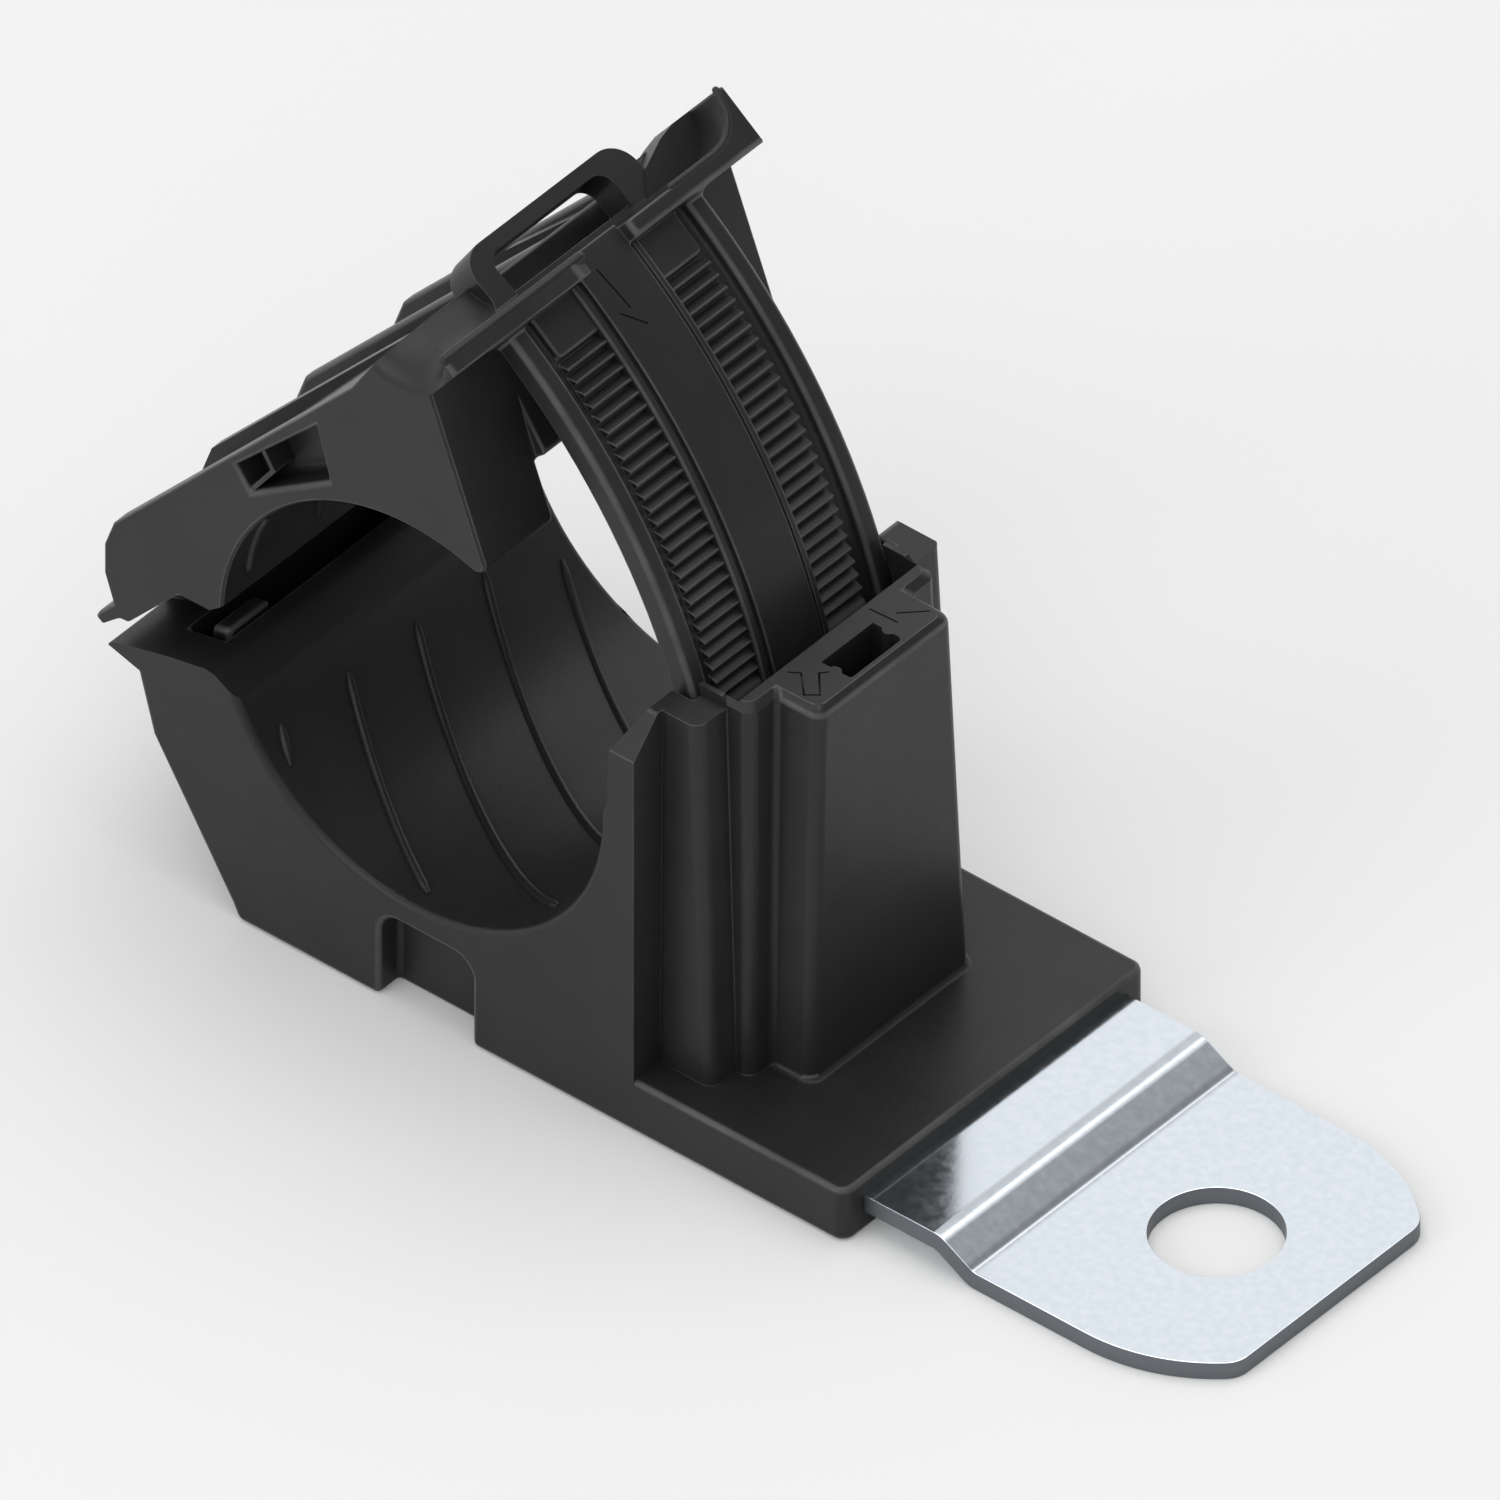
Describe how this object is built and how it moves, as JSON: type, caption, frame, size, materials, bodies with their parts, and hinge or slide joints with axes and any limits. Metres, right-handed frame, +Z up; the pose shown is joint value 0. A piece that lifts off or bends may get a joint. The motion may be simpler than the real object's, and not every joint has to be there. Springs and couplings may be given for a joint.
{
  "type": "ratchet p-clamp",
  "caption": "Moulded cradle with a hinged lid, whose curved toothed strap runs into a ratchet tower, on a joggled steel foot with a bolt hole.",
  "frame": {"origin": "centre of the bolt hole on the seating plane", "axes": "+Z up from the seating plane along the bolt, +X away from the clamp towards the free end of the steel foot, +Y along the bundle"},
  "size_m": [0.0918, 0.0304, 0.059],
  "materials": {
    "black_nylon": "moulded black nylon with a fine satin grain",
    "zinc_plate": "bright zinc-plated steel"
  },
  "bodies": {
    "base": {"lower_body": "black_nylon", "mounting_bracket": "zinc_plate"},
    "lid": {"upper_jaw": "black_nylon"}
  },
  "joints": [
    {"name": "lid_hinge", "type": "hinge", "parent": "base", "child": "lid", "pos_m": [-0.0798, 0, 0.0187], "axis": [0, 1, 0], "range_deg": [-45, 32]}
  ]
}
